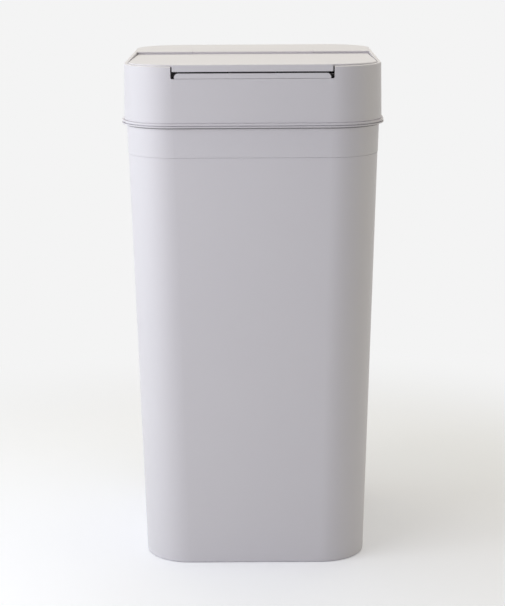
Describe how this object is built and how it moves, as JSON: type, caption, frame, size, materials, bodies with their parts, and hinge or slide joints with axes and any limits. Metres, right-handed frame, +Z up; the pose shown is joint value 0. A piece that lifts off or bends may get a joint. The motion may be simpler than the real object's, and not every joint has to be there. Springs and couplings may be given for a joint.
{
  "type": "sealed kitchen bin",
  "caption": "Tall tapered kitchen bin with a lift-off collar, a flush gasketed rear-hinged lid and a push-tab latch under the lid's front lip.",
  "frame": {"origin": "on the floor, under the middle of the bin", "axes": "+Z up, -Y towards the front, where the push tab is, +X to the right seen from the front"},
  "size_m": [0.268, 0.301, 0.5289],
  "materials": {
    "pail_plastic": "fine matte moulded polypropylene",
    "collar_plastic": "fine matte moulded polypropylene",
    "lid_plastic": "fine matte moulded polypropylene",
    "latch_plastic": "satin moulded polypropylene",
    "inner_plastic": "plain moulded polypropylene",
    "catch_plastic": "smooth black moulded acetal",
    "gasket_rubber": "soft silicone",
    "steel": "plain drawn steel"
  },
  "bodies": {
    "pail": {"body": "pail_plastic"},
    "collar": {"collar": "collar_plastic", "collar_gasket": "gasket_rubber", "throat_frame": "inner_plastic", "frame_screws": "steel", "latch_pin_left": "steel", "latch_pin_right": "steel", "latch_spring_left": "steel", "latch_spring_right": "steel", "hinge_pin_left": "steel", "hinge_pin_right": "steel"},
    "latch": {"latch_bar": "latch_plastic"},
    "lid": {"lid_panel": "lid_plastic", "lid_liner": "inner_plastic", "lid_gasket": "gasket_rubber", "liner_screws": "steel", "lid_catch_left": "catch_plastic", "lid_catch_right": "catch_plastic", "catch_screws": "steel"}
  },
  "joints": [
    {"name": "collar_lift", "type": "slide", "parent": "pail", "child": "collar", "axis": [0, 0, 1], "range_m": [0, 0.1]},
    {"name": "lid_hinge", "type": "hinge", "parent": "collar", "child": "lid", "pos_m": [0, 0.0534, 0.523], "axis": [-1, 0, 0], "range_deg": [0, 100]},
    {"name": "latch_press", "type": "hinge", "parent": "collar", "child": "latch", "pos_m": [0, -0.1415, 0.5105], "axis": [-1, 0, 0], "range_deg": [0, 12], "stiffness_Nm_per_rad": 0.06, "springref_deg": -5.73, "deforming": ["latch_spring_left", "latch_spring_right"]}
  ]
}
